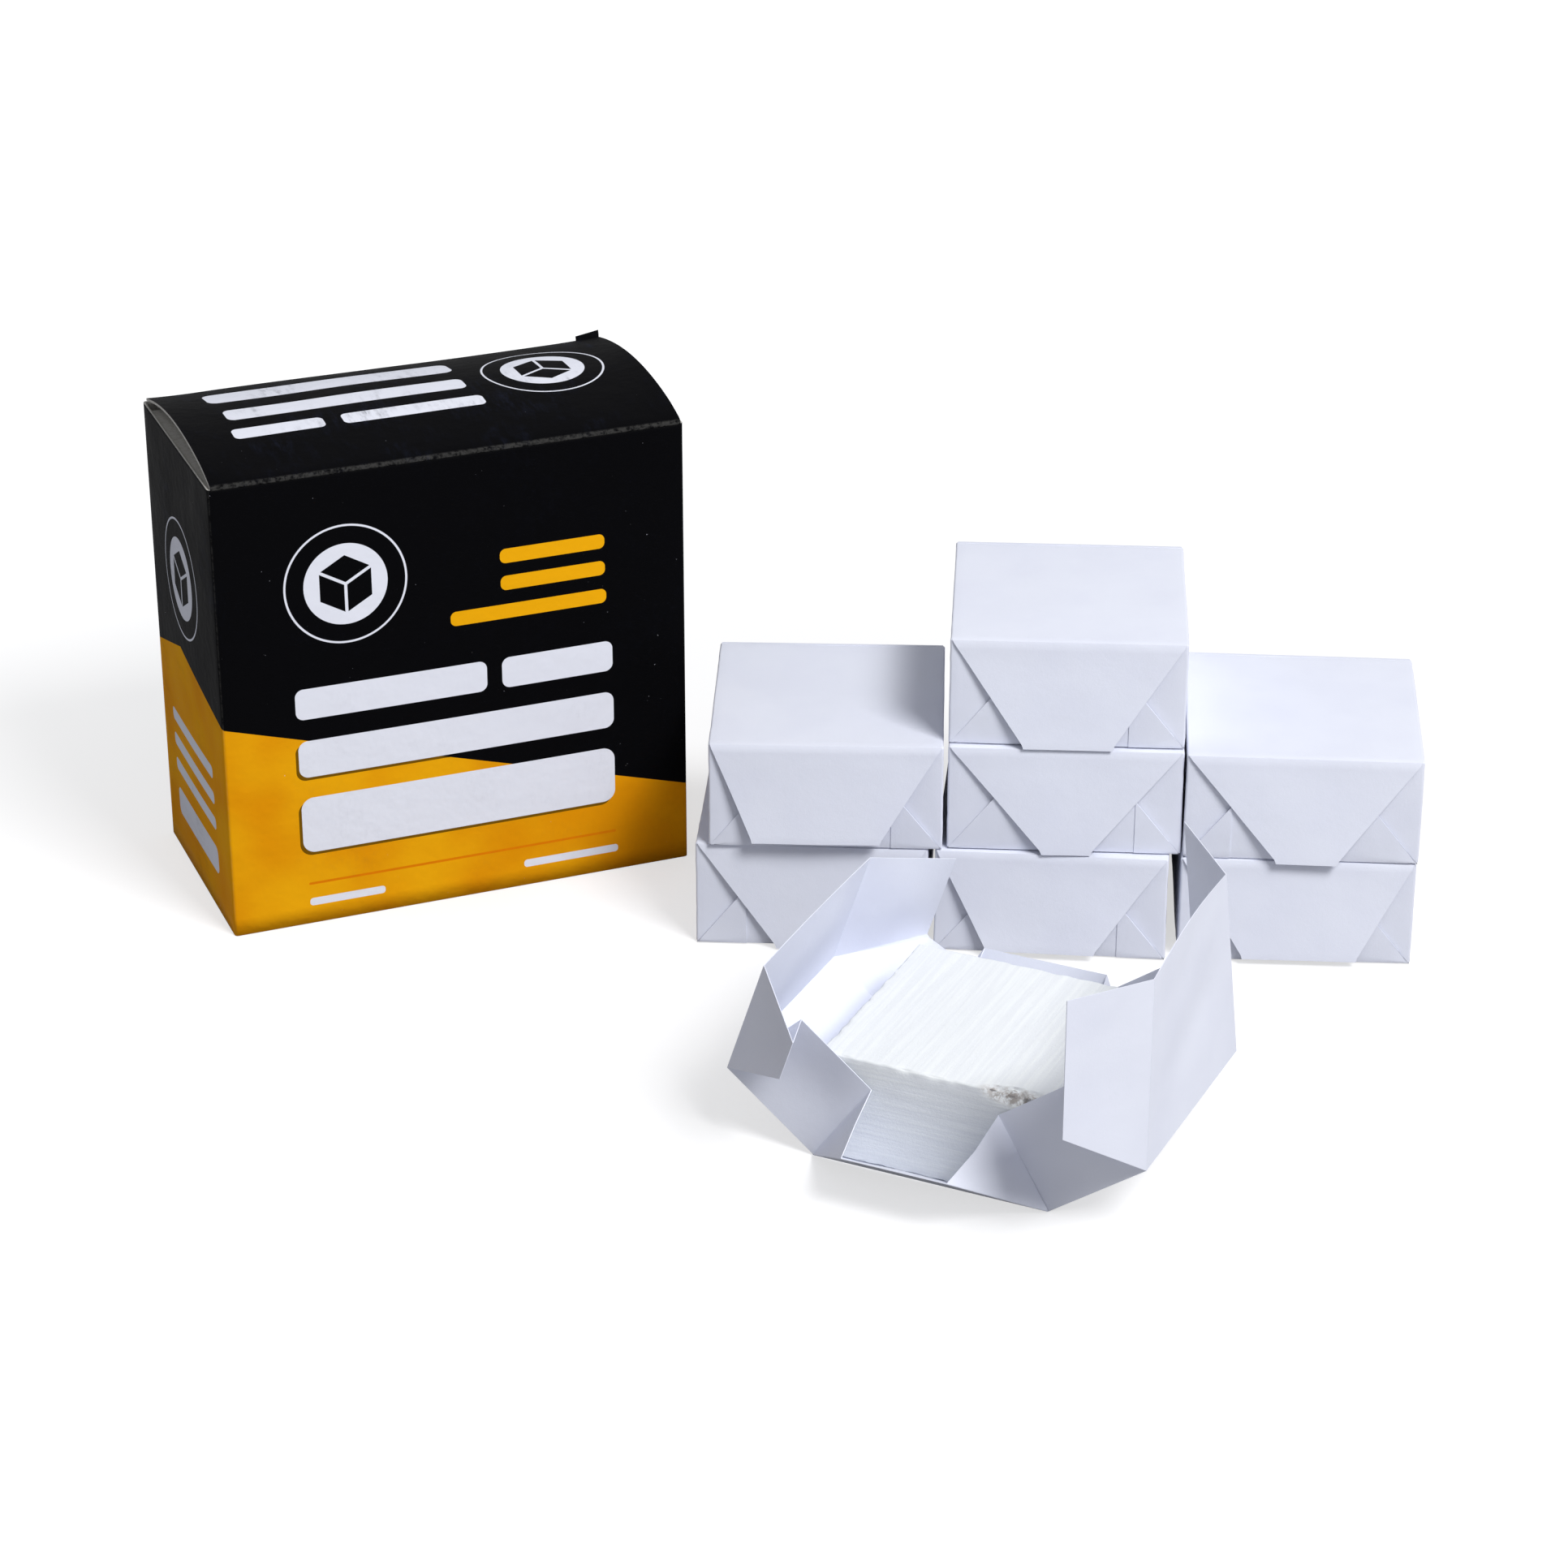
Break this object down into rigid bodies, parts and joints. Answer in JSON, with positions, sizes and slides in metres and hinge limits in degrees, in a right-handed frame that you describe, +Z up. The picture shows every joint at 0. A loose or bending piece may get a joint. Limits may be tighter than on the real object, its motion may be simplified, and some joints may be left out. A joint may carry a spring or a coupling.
{
  "type": "gymnastics chalk pack",
  "caption": "Tuck-top carton beside a stack of paper-wrapped chalk blocks and one block lying in its unfolded wrapper.",
  "frame": {"origin": "centre of the underside of the stack's bottom centre block, on the table", "axes": "+X along the stack's rows to the viewer's right, +Y to the rear, +Z up"},
  "size_m": [0.3341, 0.2622, 0.1309],
  "materials": {
    "wrapping_paper": "matte",
    "chalk": "matte",
    "printed_board": "satin",
    "plain_board": "matte"
  },
  "bodies": {
    "carton_and_floor": {"carton_front_panel": "printed_board", "carton_rear_panel": "printed_board", "carton_left_panel": "printed_board", "carton_right_panel": "printed_board", "carton_glue_tab": "plain_board", "carton_bottom_outer_flap": "plain_board", "carton_bottom_inner_flap": "plain_board", "carton_bottom_left_dust_flap": "plain_board", "carton_bottom_right_dust_flap": "plain_board", "open_floor": "wrapping_paper"},
    "lid": {"carton_lid": "printed_board"},
    "tuck_flap": {"carton_tuck_flap": "plain_board"},
    "left_dust_flap": {"carton_left_dust_flap": "plain_board"},
    "right_dust_flap": {"carton_right_dust_flap": "plain_board"},
    "block_bottom_left": {"wrapper_bottom_left": "wrapping_paper", "chalk_bottom_left": "chalk"},
    "block_bottom_centre": {"wrapper_bottom_centre": "wrapping_paper", "chalk_bottom_centre": "chalk"},
    "block_bottom_right": {"wrapper_bottom_right": "wrapping_paper", "chalk_bottom_right": "chalk"},
    "block_middle_left": {"wrapper_middle_left": "wrapping_paper", "chalk_middle_left": "chalk"},
    "block_middle_centre": {"wrapper_middle_centre": "wrapping_paper", "chalk_middle_centre": "chalk"},
    "block_middle_right": {"wrapper_middle_right": "wrapping_paper", "chalk_middle_right": "chalk"},
    "block_top": {"wrapper_top": "wrapping_paper", "chalk_top": "chalk"},
    "loose_chalk": {"open_chalk": "chalk"},
    "left_wall": {"open_left_wall": "wrapping_paper"},
    "right_wall": {"open_right_wall": "wrapping_paper"},
    "left_flap": {"open_left_flap": "wrapping_paper"},
    "right_flap": {"open_right_flap": "wrapping_paper"},
    "front_flap": {"open_front_flap": "wrapping_paper"},
    "rear_flap": {"open_rear_flap": "wrapping_paper"}
  },
  "joints": [
    {"name": "lid_hinge", "type": "hinge", "parent": "carton_and_floor", "child": "lid", "pos_m": [-0.15605, -0.00846, 0.1258], "axis": [0.9048, 0.4258, 0], "range_deg": [0, 130]},
    {"name": "tuck_flap_crease", "type": "hinge", "parent": "lid", "child": "tuck_flap", "pos_m": [-0.18364, 0.05017, 0.1257], "axis": [-0.9048, -0.4258, 0], "range_deg": [0, 50]},
    {"name": "left_dust_flap_crease", "type": "hinge", "parent": "carton_and_floor", "child": "left_dust_flap", "pos_m": [-0.22629, -0.00504, 0.1243], "axis": [-0.4258, 0.9048, 0], "range_deg": [0, 80]},
    {"name": "right_dust_flap_crease", "type": "hinge", "parent": "carton_and_floor", "child": "right_dust_flap", "pos_m": [-0.11391, 0.04784, 0.1243], "axis": [0.4258, -0.9048, 0], "range_deg": [0, 80]},
    {"name": "pull_bottom_left", "type": "slide", "parent": "carton_and_floor", "child": "block_bottom_left", "axis": [0, 1, 0], "range_m": [0, 0.04]},
    {"name": "pull_bottom_centre", "type": "slide", "parent": "carton_and_floor", "child": "block_bottom_centre", "axis": [0, 1, 0], "range_m": [0, 0.04]},
    {"name": "pull_bottom_right", "type": "slide", "parent": "carton_and_floor", "child": "block_bottom_right", "axis": [0, 1, 0], "range_m": [0, 0.04]},
    {"name": "lift_middle_left", "type": "slide", "parent": "carton_and_floor", "child": "block_middle_left", "axis": [0, 0, 1], "range_m": [0, 0.04]},
    {"name": "lift_middle_centre", "type": "slide", "parent": "carton_and_floor", "child": "block_middle_centre", "axis": [0, 0, 1], "range_m": [0, 0.04]},
    {"name": "lift_middle_right", "type": "slide", "parent": "carton_and_floor", "child": "block_middle_right", "axis": [0, 0, 1], "range_m": [0, 0.04]},
    {"name": "lift_top", "type": "slide", "parent": "block_middle_centre", "child": "block_top", "axis": [0, 0, 1], "range_m": [0, 0.04]},
    {"name": "lift_loose_chalk", "type": "slide", "parent": "carton_and_floor", "child": "loose_chalk", "axis": [0, 0, 1], "range_m": [0, 0.06]},
    {"name": "left_wall_crease", "type": "hinge", "parent": "carton_and_floor", "child": "left_wall", "pos_m": [-0.04511, -0.10684, 0.00025], "axis": [0.3649, 0.9311, 0], "range_deg": [-35, 12]},
    {"name": "left_flap_crease", "type": "hinge", "parent": "left_wall", "child": "left_flap", "pos_m": [-0.06602, -0.09865, 0.01844], "axis": [0.3649, 0.9311, 0], "range_deg": [-50, 20]},
    {"name": "right_wall_crease", "type": "hinge", "parent": "carton_and_floor", "child": "right_wall", "pos_m": [0.01131, -0.12896, 0.00025], "axis": [-0.3649, -0.9311, 0], "range_deg": [-32, 15]},
    {"name": "right_flap_crease", "type": "hinge", "parent": "right_wall", "child": "right_flap", "pos_m": [0.03308, -0.13749, 0.01724], "axis": [-0.3649, -0.9311, 0], "range_deg": [-50, 35]},
    {"name": "front_flap_crease", "type": "hinge", "parent": "carton_and_floor", "child": "front_flap", "pos_m": [-0.02836, -0.14713, 0.00025], "axis": [-0.9311, 0.3649, 0], "range_deg": [-28, 25]},
    {"name": "rear_flap_crease", "type": "hinge", "parent": "carton_and_floor", "child": "rear_flap", "pos_m": [-0.00544, -0.08866, 0.00025], "axis": [0.9311, -0.3649, 0], "range_deg": [-65, 8]}
  ]
}
